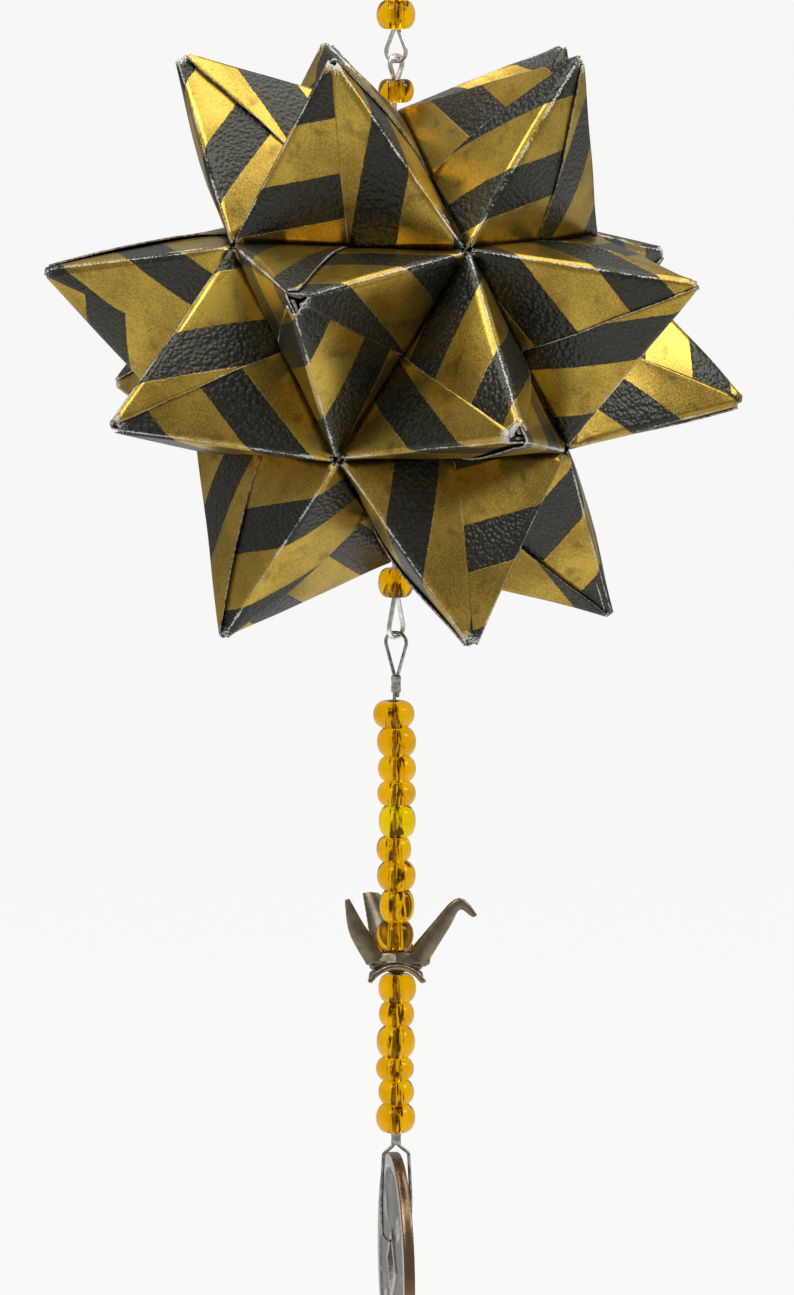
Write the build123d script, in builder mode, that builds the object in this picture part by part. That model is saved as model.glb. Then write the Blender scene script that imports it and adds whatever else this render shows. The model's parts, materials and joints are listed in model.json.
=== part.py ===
"""Folded paper ball hung on a wire loop, with a drop of glass beads, a crane charm and a coin.

Millimetres, +Z up, +X to the right of the view from the front (-Y). The origin is the highest
point inside the hang loop, where a hook carries the ornament.
"""
import os
from math import atan2, cos, pi, radians, sin, sqrt, tan

from build123d import *

# Paper ball: valley folds run from pit to pit, ridge folds from pit to tip
valley_fold = 25.2
ridge_fold = 24.1
door_layer = 0.15
tab_layer = 0.30
base_layer = 0.30
layer_gap = 0.03
pinhole_radius = 0.65
tip_blunt = 0.8
ball_turn = -142.13

# Glass beads: widths and heights from the top of the strand down
hanger_bead_widths = [4.0, 4.1]
hanger_bead_heights = [2.9, 2.95]
top_bead_width = 3.8
top_bead_height = 2.4
bottom_bead_width = 3.8
bottom_bead_height = 3.0
upper_bead_widths = [4.43, 4.19, 4.1, 4.18, 3.93, 3.74, 4.18, 3.76, 4.01]
upper_bead_heights = [2.8, 3.05, 2.7, 2.6, 3.35, 2.65, 3.05, 3.4, 2.9]
lower_bead_widths = [4.13, 3.86, 4.2, 4.05, 3.86, 4.26]
lower_bead_heights = [3.03, 2.61, 3.34, 2.48, 2.61, 3.03]
bead_bore = 1.16
bead_flat_width = 2.1
bead_seat_gap = 0.08

# Wires: each loop has straight slanting sides, a round end and two legs side by side in its neck
hanger_wire_d = 0.45
ball_wire_d = 0.5
strand_wire_d = 0.36
leg_gap = 0.02
link_gap = 0.07
loop_flat = 0.24
neck_bend = 0.7
hang_loop_length = 10.6
hang_loop_width = 11.5
hanger_drop_length = 3.3
hanger_drop_width = 3.2
hanger_yaw = -25.0
top_eye_length = 2.4
bottom_eye_length = 4.3
eye_width = 2.9
ball_wire_yaw = 50.0
wire_tail = 0.5
strand_loop_length = 4.55
strand_loop_width = 3.1
strand_yaw = -25.0

# Crimp tubes pressed over the two legs of the strand's loops
crimp_wall = 0.15
crimp_clearance = 0.01
upper_crimp_height = 1.8
lower_crimp_height = 1.4
crimp_to_bead = 0.95

# Coin with a square hole, hung by one corner in the strand's lower loop
coin_diameter = 24.0
coin_thickness = 1.15
coin_recess = 0.18
coin_rim = 1.5
coin_hole = 4.2
coin_hole_frame = 0.7
coin_edge_radius = 0.2
coin_play = 0.12
coin_yaw = 7.0
coin_crimp_gap = 1.15
coin_loop_flat = 0.7
coin_loop_shoulder_drop = 1.0
coin_loop_shoulder_width = 2.7
coin_loop_belly_share = 0.585
coin_loop_belly_width = 3.2
coin_loop_end_width = 2.9
coin_loop_neck_bend = 0.35
coin_loop_shoulder_bend = 0.6
coin_loop_belly_bend = 8.0

# Crane charm threaded through its back
crane_height = 2.7
crane_play = 0.05
crane_bore = 1.3
crane_body_width = 2.6
crane_body_front = 3.6
crane_body_back = -3.2
crane_body_end_share = 0.25
crane_limb_flatness = 0.5
crane_wing_thickness = 0.5

# Stations along the crane's neck and tail: reach and height in the side view, depth, heading
crane_neck = [(2.1, 0.1, 2.5, 50), (4.8, 3.9, 1.8, 55), (6.7, 6.2, 1.35, 0), (8.4, 4.8, 0.6, -62)]
crane_tail = [(-2.0, 0.1, 2.5, 118), (-4.1, 3.4, 1.9, 113), (-5.2, 6.7, 0.6, 108)]

# Stations along each wing: reach out, rise, shift along the body, chord, arch, heading
crane_near_wing = [(0, 0, 0, 5.8, 1.2, 2), (2.5, 0.1, 0, 6.0, 1.6, 4), (5.0, 0.4, 0.1, 6.3, 2.1, 8)]
crane_far_wing = [(0, 0, 0, 5.8, 1.2, 38), (2.4, 1.9, -0.5, 4.6, 0.9, 44), (5.6, 6.4, -2.7, 1.9, 0.3, 58)]

# The ball is an icosahedron of valley folds with a three-sided spike on each face
golden = (1 + sqrt(5)) / 2
pit_radius = valley_fold * sqrt(golden * sqrt(5)) / 2
mid_radius = valley_fold * golden / 2
face_radius = valley_fold * golden**2 / sqrt(12)
spike_height = sqrt(ridge_fold**2 - valley_fold**2 / 3)
tip_radius = face_radius + spike_height
ring_height = pit_radius / sqrt(5)
ring_radius = 2 * ring_height
pole_tip_height = tip_radius * face_radius / pit_radius
pole_tip_reach = sqrt(tip_radius**2 - pole_tip_height**2)
pole_ridge_slope = (pole_tip_height - pit_radius) / pole_tip_reach
bead_rest = pit_radius + pole_ridge_slope * bead_flat_width / 2 + bead_seat_gap

# Heights, from the hang loop down
hanger_leg = (hanger_wire_d + leg_gap) / 2
ball_leg = (ball_wire_d + leg_gap) / 2
strand_leg = (strand_wire_d + leg_gap) / 2
hang_loop_top = hanger_wire_d / 2
hanger_bead_top = -hang_loop_length
hanger_bead_bottom = hanger_bead_top - sum(hanger_bead_heights)
hanger_drop_end = hanger_bead_bottom - hanger_drop_length
top_eye_end = hanger_drop_end + (hanger_wire_d + ball_wire_d) / 2 + link_gap
top_bead_top = top_eye_end - top_eye_length
ball_center = top_bead_top - top_bead_height - bead_rest
bottom_bead_top = ball_center - bead_rest
bottom_eye_neck = bottom_bead_top - bottom_bead_height
bottom_eye_end = bottom_eye_neck - bottom_eye_length
strand_loop_end = bottom_eye_end + (ball_wire_d + strand_wire_d) / 2 + link_gap
upper_crimp_top = strand_loop_end - strand_loop_length
upper_crimp_bottom = upper_crimp_top - upper_crimp_height
upper_beads_top = upper_crimp_bottom - crimp_to_bead
crane_top = upper_beads_top - sum(upper_bead_heights) - crane_play
crane_bottom = crane_top - crane_height
lower_beads_top = crane_bottom - crane_play
lower_crimp_top = lower_beads_top - sum(lower_bead_heights)
lower_crimp_bottom = lower_crimp_top - lower_crimp_height
coin_center = lower_crimp_bottom - coin_crimp_gap - coin_diameter / 2
coin_hole_corner = coin_center + coin_hole / sqrt(2)
coin_loop_end = coin_hole_corner - sqrt(2) * (strand_wire_d / 2 + coin_play)
coin_loop_length = lower_crimp_bottom - coin_loop_end
coin_loop_belly_drop = coin_loop_belly_share * coin_loop_length

os.makedirs("parts", exist_ok=True)


def save(piece, name):
    """Label one finished piece and write it to its own file."""
    piece.label = name
    export_step(piece, f"parts/{name}.step")


def facing(point, direction):
    """A cutting plane through a point, keeping the side that the direction points to."""
    return Plane(origin=point, z_dir=direction)


# Corners of one unit, in a frame with its valley fold along X and the ball's centre on -Z
core = Vector(0, 0, -mid_radius)
pit_right = Vector(valley_fold / 2, 0, 0)
pit_left = Vector(-valley_fold / 2, 0, 0)
face_tilt = atan2(valley_fold / sqrt(12), face_radius)
face_out = Vector(0, sin(face_tilt), cos(face_tilt))
pit_far = Vector(0, cos(face_tilt), -sin(face_tilt)) * (valley_fold * sqrt(3) / 2)
tip = core + face_out * tip_radius


def spike_face(corner_a, corner_b):
    """Plane of a spike's face through the tip and two pits, its normal pointing out of the ball."""
    normal = (corner_a - tip).cross(corner_b - tip).normalized()
    if normal.dot(tip - core) < 0:
        normal = normal * -1
    return Plane(origin=tip, z_dir=normal)


own_face = spike_face(pit_left, pit_right)
next_face = spike_face(pit_right, pit_far)
last_face = spike_face(pit_far, pit_left)


def under(face, depth):
    """Cutting plane that keeps what lies deeper than a depth under a spike's face."""
    return facing(face.origin - face.z_dir * depth, face.z_dir * -1)


def over_valley(corner_a, corner_b, gap):
    """Cutting plane through a valley fold and the ball's centre, keeping this spike's side."""
    normal = (corner_a - core).cross(corner_b - core).normalized()
    if normal.dot(tip - core) < 0:
        normal = normal * -1
    return facing(corner_a + normal * gap, normal)


def past_pit(pit, other):
    """Cutting plane that leaves the pinhole open where five units meet in a pit."""
    outward = (pit - core).normalized()
    along = other - pit
    along = (along - outward * along.dot(outward)).normalized()
    return facing(pit + along * pinhole_radius, along)


def sheet_layer(face, top, bottom, cuts):
    """One flat layer of the folded sheet, between two depths under a spike's face."""
    with BuildPart() as layer:
        with BuildSketch(face.offset(-bottom)):
            Circle(2 * ridge_fold)
        extrude(amount=bottom - top)
        for cut in cuts:
            split(bisect_by=cut, keep=Keep.TOP)
    return layer.part


tab_top = door_layer + layer_gap
tab_bottom = tab_top + tab_layer
base_top = tab_bottom + layer_gap
base_bottom = base_top + base_layer
blunt_tip = facing(tip - face_out * tip_blunt, face_out * -1)
pit_cuts = [past_pit(pit_right, pit_left), past_pit(pit_left, pit_right)]

base_panel = sheet_layer(
    own_face,
    base_top,
    base_bottom,
    [over_valley(pit_left, pit_right, 0), under(next_face, tab_top)]
    + [under(last_face, base_bottom + layer_gap), blunt_tip]
    + pit_cuts,
)
door = sheet_layer(
    own_face,
    0,
    door_layer,
    [facing((0, 0, 0), (1, 0, 0)), over_valley(pit_left, pit_right, layer_gap / 2)]
    + [under(next_face, tab_top), blunt_tip]
    + pit_cuts,
)
tab = sheet_layer(
    next_face,
    tab_top,
    tab_bottom,
    [under(own_face, 0), over_valley(pit_right, pit_far, layer_gap / 2)]
    + [under(last_face, base_top), blunt_tip]
    + [past_pit(pit_right, pit_far), past_pit(pit_far, pit_right)],
)

with BuildPart() as folded_unit:
    for half_turn in (0, 180):
        with Locations(Location((0, 0, 0), (0, 0, half_turn))):
            add([base_panel, door, tab])

# Pits of the ball: one at each pole and two rings of five
poles = [Vector(0, 0, ball_center + pit_radius), Vector(0, 0, ball_center - pit_radius)]
rings = [[], []]
for step in range(5):
    for ring, height in enumerate((ring_height, -ring_height)):
        azimuth = radians(ball_turn + 72 * step + 36 * ring)
        rings[ring].append(
            Vector(ring_radius * cos(azimuth), ring_radius * sin(azimuth), ball_center + height)
        )
upper_pits, lower_pits = rings
valleys = []
for step in range(5):
    after = (step + 1) % 5
    valleys += [
        (poles[0], upper_pits[step]),
        (upper_pits[step], upper_pits[after]),
        (upper_pits[step], lower_pits[step]),
        (lower_pits[step], upper_pits[after]),
        (lower_pits[step], lower_pits[after]),
        (lower_pits[step], poles[1]),
    ]

ball_middle = Vector(0, 0, ball_center)
for number, (start, end) in enumerate(valleys, 1):
    fold_middle = (start + end) * 0.5
    seat = Plane(origin=fold_middle, x_dir=end - start, z_dir=fold_middle - ball_middle)
    with BuildPart() as paper_unit:
        with Locations(seat.location):
            add(folded_unit.part)
    save(paper_unit.part, f"paper_unit_{number:02d}")


def make_bead(name, width, height, top):
    """A pressed glass bead: a bored ring with flat ends and a rounded side."""
    flat = bead_flat_width / 2
    bore = bead_bore / 2
    with BuildPart() as bead:
        with BuildSketch(Plane.XZ):
            with BuildLine():
                Line((bore, top), (flat, top))
                EllipticalCenterArc(
                    (flat, top - height / 2), width / 2 - flat, height / 2, start_angle=-90, arc_size=180
                )
                Line((flat, top - height), (bore, top - height))
                Line((bore, top - height), (bore, top))
            make_face()
        revolve(axis=Axis.Z)
    save(bead.part, name)


def make_bead_row(stem, first, widths, heights, top):
    """A row of beads threaded end to end, from the top down."""
    for offset, (width, height) in enumerate(zip(widths, heights)):
        make_bead(f"{stem}_{first + offset:02d}", width, height, top)
        top -= height


make_bead_row("hanger_bead", 1, hanger_bead_widths, hanger_bead_heights, hanger_bead_top)
make_bead("top_bead", top_bead_width, top_bead_height, top_bead_top)
make_bead("bottom_bead", bottom_bead_width, bottom_bead_height, bottom_bead_top)
make_bead_row("strand_bead", 1, upper_bead_widths, upper_bead_heights, upper_beads_top)
make_bead_row(
    "strand_bead", len(upper_bead_widths) + 1, lower_bead_widths, lower_bead_heights, lower_beads_top
)


def upright(yaw):
    """Upright plane through the ornament's axis, turned about Z from the front view."""
    turn = radians(yaw)
    return Plane(origin=(0, 0, 0), x_dir=(cos(turn), sin(turn), 0), z_dir=(sin(turn), -cos(turn), 0))


def end_bend(width, spread, length, flat):
    """Radius of a loop's round end that leaves a flat where the next link hangs.

    The spread is how far each side leans out over the length before it meets the end.
    """
    return (width - flat) / 2 / tan(pi / 4 + atan2(spread, length) / 2)


def loop_bend(width, leg, length):
    """Radius of a loop's round end, for sides that run straight from its two legs."""
    return end_bend(width, width / 2 - leg, length, loop_flat)


def beside(yaw, reach, height):
    """A point beside the ornament's axis, in an upright plane that is turned about Z."""
    return upright(yaw).from_local_coords((reach, height, 0))


# Hanger wire: hang loop above the beads, two legs through them and a drop-shaped loop below
with BuildPart() as hanger_wire:
    with BuildLine(upright(hanger_yaw)) as hanger_half:
        FilletPolyline(
            (0, hanger_drop_end),
            (hanger_drop_width / 2, hanger_drop_end),
            (hanger_leg, hanger_bead_bottom),
            (hanger_leg, hanger_bead_top),
            (hang_loop_width / 2, hang_loop_top),
            (0, hang_loop_top),
            radius=[
                loop_bend(hanger_drop_width, hanger_leg, hanger_drop_length),
                neck_bend,
                neck_bend,
                loop_bend(hang_loop_width, hanger_leg, hang_loop_length),
            ],
        )
    with BuildSketch(Plane(origin=hanger_half.line @ 0, z_dir=hanger_half.line % 0)):
        Circle(hanger_wire_d / 2)
    sweep()
    mirror(about=Plane(origin=(0, 0, 0), z_dir=upright(hanger_yaw).x_dir))
save(hanger_wire.part, "hanger_wire")

# Ball wire: a straight run through the ball with an eye above the top bead and below the bottom one
eye_bends = [loop_bend(eye_width, ball_leg, top_eye_length)] * 2
low_eye_bends = [loop_bend(eye_width, ball_leg, bottom_eye_length)] * 2
with BuildPart() as ball_wire:
    with BuildLine(upright(ball_wire_yaw)) as ball_route:
        FilletPolyline(
            (ball_leg, top_bead_top - top_bead_height + wire_tail),
            (ball_leg, top_bead_top),
            (eye_width / 2, top_eye_end),
            (-eye_width / 2, top_eye_end),
            (-ball_leg, top_bead_top),
            (-ball_leg, bottom_eye_neck),
            (-eye_width / 2, bottom_eye_end),
            (eye_width / 2, bottom_eye_end),
            (ball_leg, bottom_eye_neck),
            (ball_leg, bottom_bead_top - wire_tail),
            radius=[neck_bend] + eye_bends + [neck_bend] * 2 + low_eye_bends + [neck_bend],
        )
    with BuildSketch(Plane(origin=ball_route.line @ 0, z_dir=ball_route.line % 0)):
        Circle(ball_wire_d / 2)
    sweep()
save(ball_wire.part, "ball_wire")

# Strand wire: a loop in the ball's lower eye, a straight run through the beads and the coin's loop
strand_bend = loop_bend(strand_loop_width, strand_leg, strand_loop_length)
belly_spread = (coin_loop_end_width - coin_loop_belly_width) / 2
coin_bend = end_bend(
    coin_loop_end_width, belly_spread, coin_loop_length - coin_loop_belly_drop, coin_loop_flat
)
shoulder_z = lower_crimp_bottom - coin_loop_shoulder_drop
belly_z = lower_crimp_bottom - coin_loop_belly_drop
strand_top_side = [
    (strand_leg, upper_crimp_bottom - wire_tail),
    (strand_leg, upper_crimp_top),
    (strand_loop_width / 2, strand_loop_end),
    (-strand_loop_width / 2, strand_loop_end),
    (-strand_leg, upper_crimp_top),
]
coin_loop_side = [
    (-strand_leg, lower_crimp_bottom),
    (-coin_loop_shoulder_width / 2, shoulder_z),
    (-coin_loop_belly_width / 2, belly_z),
    (-coin_loop_end_width / 2, coin_loop_end),
    (coin_loop_end_width / 2, coin_loop_end),
    (coin_loop_belly_width / 2, belly_z),
    (coin_loop_shoulder_width / 2, shoulder_z),
    (strand_leg, lower_crimp_bottom),
    (strand_leg, lower_crimp_top + wire_tail / 2),
]
with BuildPart() as strand_wire:
    with BuildLine() as strand_route:
        FilletPolyline(
            [beside(strand_yaw, *point) for point in strand_top_side]
            + [beside(coin_yaw, *point) for point in coin_loop_side],
            radius=[neck_bend, strand_bend, strand_bend, neck_bend]
            + [coin_loop_neck_bend, coin_loop_shoulder_bend, coin_loop_belly_bend, coin_bend]
            + [coin_bend, coin_loop_belly_bend, coin_loop_shoulder_bend, coin_loop_neck_bend],
        )
    with BuildSketch(Plane(origin=strand_route.line @ 0, z_dir=strand_route.line % 0)):
        Circle(strand_wire_d / 2)
    sweep()
save(strand_wire.part, "strand_wire")


def make_crimp(name, yaw, top, height):
    """A crimp tube pressed to a slot shape round two legs of the strand wire."""
    inside = strand_wire_d + 2 * crimp_clearance
    axis_x = upright(yaw).x_dir
    with BuildPart() as crimp:
        with BuildSketch(Plane(origin=(0, 0, top - height), x_dir=axis_x, z_dir=(0, 0, 1))):
            SlotCenterToCenter(2 * strand_leg, inside + 2 * crimp_wall)
            SlotCenterToCenter(2 * strand_leg, inside, mode=Mode.SUBTRACT)
        extrude(amount=height)
    save(crimp.part, name)


make_crimp("upper_crimp", strand_yaw, upper_crimp_top, upper_crimp_height)
make_crimp("lower_crimp", coin_yaw, lower_crimp_top, lower_crimp_height)

# Coin: raised rim and raised frame round a square hole that stands on its corner
coin_face = Plane(origin=(0, 0, coin_center), x_dir=(0, 0, 1), z_dir=upright(coin_yaw).x_dir)
with BuildPart() as coin:
    with BuildSketch(coin_face):
        Circle(coin_diameter / 2)
        Rectangle(coin_hole, coin_hole, rotation=45, mode=Mode.SUBTRACT)
    extrude(amount=coin_thickness / 2, both=True)
    rim_edges = coin.edges().filter_by(GeomType.CIRCLE)
    fillet(rim_edges, coin_edge_radius)
    for side in (1, -1):
        with BuildSketch(coin_face.offset(side * (coin_thickness / 2 - coin_recess))):
            Circle(coin_diameter / 2 - coin_rim)
            framed = coin_hole + 2 * coin_hole_frame
            Rectangle(framed, framed, rotation=45, mode=Mode.SUBTRACT)
        extrude(amount=side * 2 * coin_recess, mode=Mode.SUBTRACT)
save(coin.part, "coin")

# Crane: boat-shaped body, a neck that bends over into the head, a tail and two arched wings
crane_middle = (crane_top + crane_bottom) / 2
crane_origin = Vector(0, 0, crane_middle)


def limb(stations):
    """A flattened round limb through stations of the crane's side view."""
    with BuildPart() as piece:
        for reach, height, depth, heading in stations:
            turn = radians(heading)
            place = crane_origin + Vector(reach, 0, height)
            with BuildSketch(Plane(origin=place, x_dir=(0, 1, 0), z_dir=(cos(turn), 0, sin(turn)))):
                Ellipse(crane_limb_flatness * depth / 2, depth / 2)
        loft()
    return piece.part


def wing(side, stations):
    """One arched wing from the body's middle plane out to its edge."""
    drop = -crane_wing_thickness
    with BuildPart() as piece:
        for reach, rise, shift, chord, arch, heading in stations:
            turn = radians(heading)
            place = crane_origin + Vector(shift, side * reach, rise)
            half = chord / 2
            out = (0, side * cos(turn), sin(turn))
            with BuildSketch(Plane(origin=place, x_dir=(-side, 0, 0), z_dir=out)):
                with BuildLine():
                    ThreePointArc((-half, -arch), (0, 0), (half, -arch))
                    Line((half, -arch), (half, drop - arch))
                    ThreePointArc((half, drop - arch), (0, drop), (-half, drop - arch))
                    Line((-half, drop - arch), (-half, -arch))
                make_face()
        loft()
    return piece.part


with BuildPart() as crane:
    for place, share in (
        (crane_body_back, crane_body_end_share),
        (0, 1),
        (crane_body_front, crane_body_end_share),
    ):
        side = crane_body_width / 2 * share
        top = crane_height / 2 * share
        middle = crane_origin + Vector(place, 0, 0)
        with BuildSketch(Plane(origin=middle, x_dir=(0, 1, 0), z_dir=(1, 0, 0))):
            Polygon(
                (side, 0),
                (side / 2, top),
                (-side / 2, top),
                (-side, 0),
                (-side / 2, -top),
                (side / 2, -top),
                align=None,
            )
    loft(ruled=True)
    add(limb(crane_neck))
    add(limb(crane_tail))
    add(wing(-1, crane_near_wing))
    add(wing(1, crane_far_wing))
    with Locations((0, 0, crane_middle)):
        Cylinder(crane_bore / 2, 2 * crane_height, mode=Mode.SUBTRACT)
save(crane.part, "crane")
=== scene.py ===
"""Looks of a folded paper ball that hangs on a wire loop over a drop of beads, a crane and a coin.

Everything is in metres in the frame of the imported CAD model: +Z up, seen from -Y.
"""

import json
import logging
from dataclasses import dataclass, field
from enum import Enum
from math import atan2, cos, pi, radians, sin, sqrt
from random import Random
from typing import Union

import bmesh
import bpy
import numpy as np
from mathutils import Matrix, Vector, noise

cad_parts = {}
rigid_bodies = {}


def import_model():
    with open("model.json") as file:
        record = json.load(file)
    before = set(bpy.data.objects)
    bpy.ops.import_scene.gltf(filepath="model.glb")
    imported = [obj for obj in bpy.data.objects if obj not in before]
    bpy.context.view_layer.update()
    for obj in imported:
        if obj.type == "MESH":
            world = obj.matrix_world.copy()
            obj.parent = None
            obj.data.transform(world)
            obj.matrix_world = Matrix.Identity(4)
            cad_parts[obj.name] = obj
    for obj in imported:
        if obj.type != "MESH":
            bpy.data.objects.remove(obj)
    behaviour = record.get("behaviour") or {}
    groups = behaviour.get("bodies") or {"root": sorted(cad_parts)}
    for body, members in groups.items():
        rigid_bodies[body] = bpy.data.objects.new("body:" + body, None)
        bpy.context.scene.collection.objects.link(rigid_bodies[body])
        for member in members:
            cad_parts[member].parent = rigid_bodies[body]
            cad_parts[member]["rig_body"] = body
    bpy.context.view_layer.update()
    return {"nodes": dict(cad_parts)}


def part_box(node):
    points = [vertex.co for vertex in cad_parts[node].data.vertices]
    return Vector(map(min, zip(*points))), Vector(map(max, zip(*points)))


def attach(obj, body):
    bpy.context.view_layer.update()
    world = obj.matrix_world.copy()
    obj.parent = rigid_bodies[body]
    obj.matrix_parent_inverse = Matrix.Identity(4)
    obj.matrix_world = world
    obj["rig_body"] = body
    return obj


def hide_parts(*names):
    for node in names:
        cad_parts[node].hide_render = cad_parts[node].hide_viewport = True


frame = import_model()

MM = 0.001
LOG = logging.getLogger("paper_ball")

Number = Union["Value", float]
Span = tuple[float, float]
Place = tuple[float, float, float]
Colour = tuple[float, float, float, float]
Stations = tuple[tuple[float, ...], ...]


class Value:
    """A number that a shader works out, for use in plain Python arithmetic."""

    def __init__(self, tree: "ShaderTree", socket: bpy.types.NodeSocket) -> None:
        """Wrap an output socket of one of a tree's nodes."""
        self.tree = tree
        self.socket = socket

    def __add__(self, other: Number) -> "Value":
        """This value plus another."""
        return self.tree.math("ADD", self, other)

    def __radd__(self, other: Number) -> "Value":
        """Another value plus this one."""
        return self.tree.math("ADD", other, self)

    def __sub__(self, other: Number) -> "Value":
        """This value less another."""
        return self.tree.math("SUBTRACT", self, other)

    def __rsub__(self, other: Number) -> "Value":
        """Another value less this one."""
        return self.tree.math("SUBTRACT", other, self)

    def __mul__(self, other: Number) -> "Value":
        """This value times another."""
        return self.tree.math("MULTIPLY", self, other)

    def __rmul__(self, other: Number) -> "Value":
        """Another value times this one."""
        return self.tree.math("MULTIPLY", other, self)

    def __mod__(self, other: Number) -> "Value":
        """What is left of this value over whole steps of another."""
        return self.tree.math("FLOORED_MODULO", self, other)

    def __or__(self, other: Number) -> "Value":
        """The larger of this value and another."""
        return self.tree.math("MAXIMUM", self, other)


class ShaderTree:
    """The nodes of one new material or world."""

    def __init__(self, owner: Union[bpy.types.Material, bpy.types.World]) -> None:
        """Start with an empty tree in a new material or world."""
        self.owner = owner
        self.owner.use_nodes = True
        self.tree = self.owner.node_tree
        self.tree.nodes.clear()

    @classmethod
    def material(cls, name: str) -> "ShaderTree":
        """The empty tree of a new material."""
        return cls(bpy.data.materials.new(name))

    def node(
        self, kind: str, settings: dict | None = None, inputs: dict | None = None, output: int | str = 0
    ) -> Value | None:
        """Add a node of any type.

        Args:
            kind: Blender's name of the node's type.
            settings: Properties of the node, set before its sockets.
            inputs: Values or links of its sockets, by name or number.
            output: Name or number of the output that is returned.

        Returns:
            The chosen output, or None for a node that has none.
        """
        made = self.tree.nodes.new(kind)
        for name, value in (settings or {}).items():
            setattr(made, name, value)
        for key, value in (inputs or {}).items():
            if isinstance(value, Value):
                self.tree.links.new(value.socket, made.inputs[key])
            else:
                made.inputs[key].default_value = value
        return Value(self, made.outputs[output]) if made.outputs else None

    def math(self, operation: str, first: Number, second: Number) -> Value:
        """A Math node on two values."""
        return self.node("ShaderNodeMath", {"operation": operation}, {0: first, 1: second})

    def attribute(self, name: str) -> Value:
        """A number that the mesh carries at each of its points."""
        return self.node("ShaderNodeAttribute", {"attribute_name": name}, output="Fac")

    def spot(self) -> Value:
        """The place on the object, in metres, as it was at rest."""
        return self.node("ShaderNodeTexCoord", output="Object")

    def noise(self, scale: float, detail: float = 2.0, upright: float = 1.0) -> Value:
        """Soft noise from 0 to 1.

        Args:
            scale: Grains to the metre.
            detail: Finer layers of noise.
            upright: How many times taller than wide a grain is.

        Returns:
            The noise.
        """
        squeeze = {0: self.spot(), 1: (1.0, 1.0, 1.0 / upright)}
        place = self.node("ShaderNodeVectorMath", {"operation": "MULTIPLY"}, squeeze)
        inputs = {"Vector": place, "Scale": scale, "Detail": detail}
        return self.node("ShaderNodeTexNoise", {}, inputs, "Fac")

    def pebbles(self, scale: float, softness: float = 0.6) -> Value:
        """Rounded cells, with that many to the metre."""
        inputs = {"Vector": self.spot(), "Scale": scale, "Smoothness": softness}
        return self.node("ShaderNodeTexVoronoi", {"feature": "SMOOTH_F1"}, inputs, "Distance")

    def rise(self, value: Number, low: Number, high: Number) -> Value:
        """A smooth step from 0 at the low value to 1 at the high one."""
        settings = {"interpolation_type": "SMOOTHSTEP"}
        inputs = {"Value": value, "From Min": low, "From Max": high}
        return self.node("ShaderNodeMapRange", settings, inputs)

    def blend(self, share: Number, first: Union[Value, Colour], second: Union[Value, Colour]) -> Value:
        """The first colour at share 0, the second at share 1."""
        settings = {"data_type": "RGBA", "clamp_factor": True}
        return self.node("ShaderNodeMix", settings, {0: share, 6: first, 7: second}, 2)

    def bump(self, height: Value, depth: float, strength: float = 1.0) -> Value:
        """A normal bent by a height from 0 to 1 that stands for that depth in metres."""
        inputs = {"Height": height, "Distance": depth, "Strength": strength}
        return self.node("ShaderNodeBump", {}, inputs)

    def surface(self, **inputs: Union[Value, float, Colour]) -> bpy.types.Material:
        """Close the tree with a Principled surface.

        Args:
            inputs: Its sockets, with a space in a name written as an underscore.

        Returns:
            The finished material.
        """
        sockets = {name.replace("_", " "): value for name, value in inputs.items()}
        shader = self.node("ShaderNodeBsdfPrincipled", {}, sockets)
        self.node("ShaderNodeOutputMaterial", {}, {"Surface": shader})
        return self.owner


@dataclass(frozen=True)
class Rubbing:
    """Wear of the ink near one kind of edge; the mesh carries the distance to it in millimetres."""

    edge: str
    fade: float
    wear_range: Span

    def amount(self, tree: ShaderTree, fluff: Value) -> Value:
        """How much of the ink is gone, less the farther from the edge."""
        return tree.rise(fluff - self.fade * tree.attribute(self.edge), *self.wear_range)


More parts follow.
